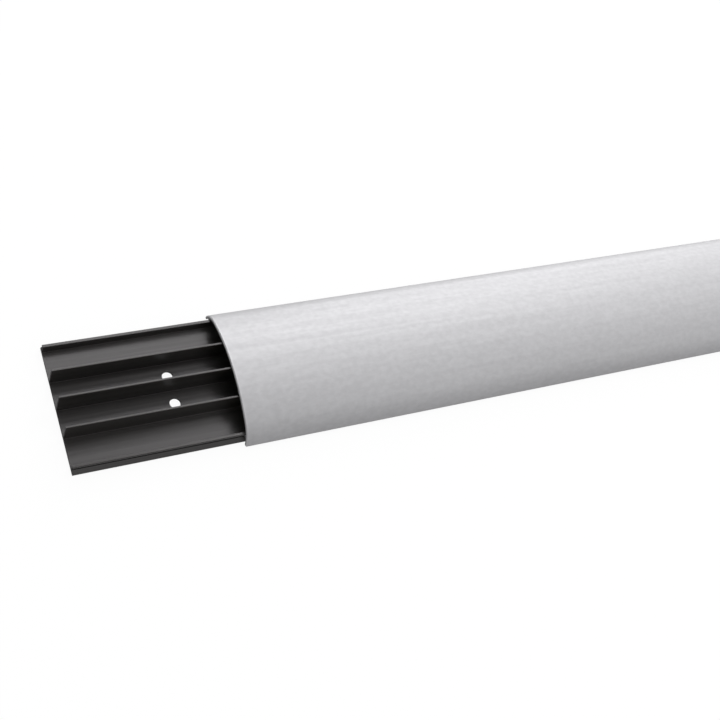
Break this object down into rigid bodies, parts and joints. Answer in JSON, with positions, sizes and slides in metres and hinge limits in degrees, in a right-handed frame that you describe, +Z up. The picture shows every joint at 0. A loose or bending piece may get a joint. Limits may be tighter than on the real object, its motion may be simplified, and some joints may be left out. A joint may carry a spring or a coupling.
{
  "type": "floor cable cover",
  "caption": "Domed on-floor cable trunking: a satin aluminium cover snapped over a black plastic base strip with upright webs that part it into cable channels.",
  "frame": {"origin": "middle of the strip's length and width, on the floor under the base", "axes": "+X along the strip, away from the end where the base is bare; +Y across the strip; +Z up from the floor"},
  "size_m": [1, 0.075, 0.0179],
  "materials": {
    "base_pvc": "satin black extruded PVC",
    "cover_aluminium": "satin natural anodised"
  },
  "bodies": {
    "root": {"base": "base_pvc", "cover": "cover_aluminium"}
  },
  "joints": []
}
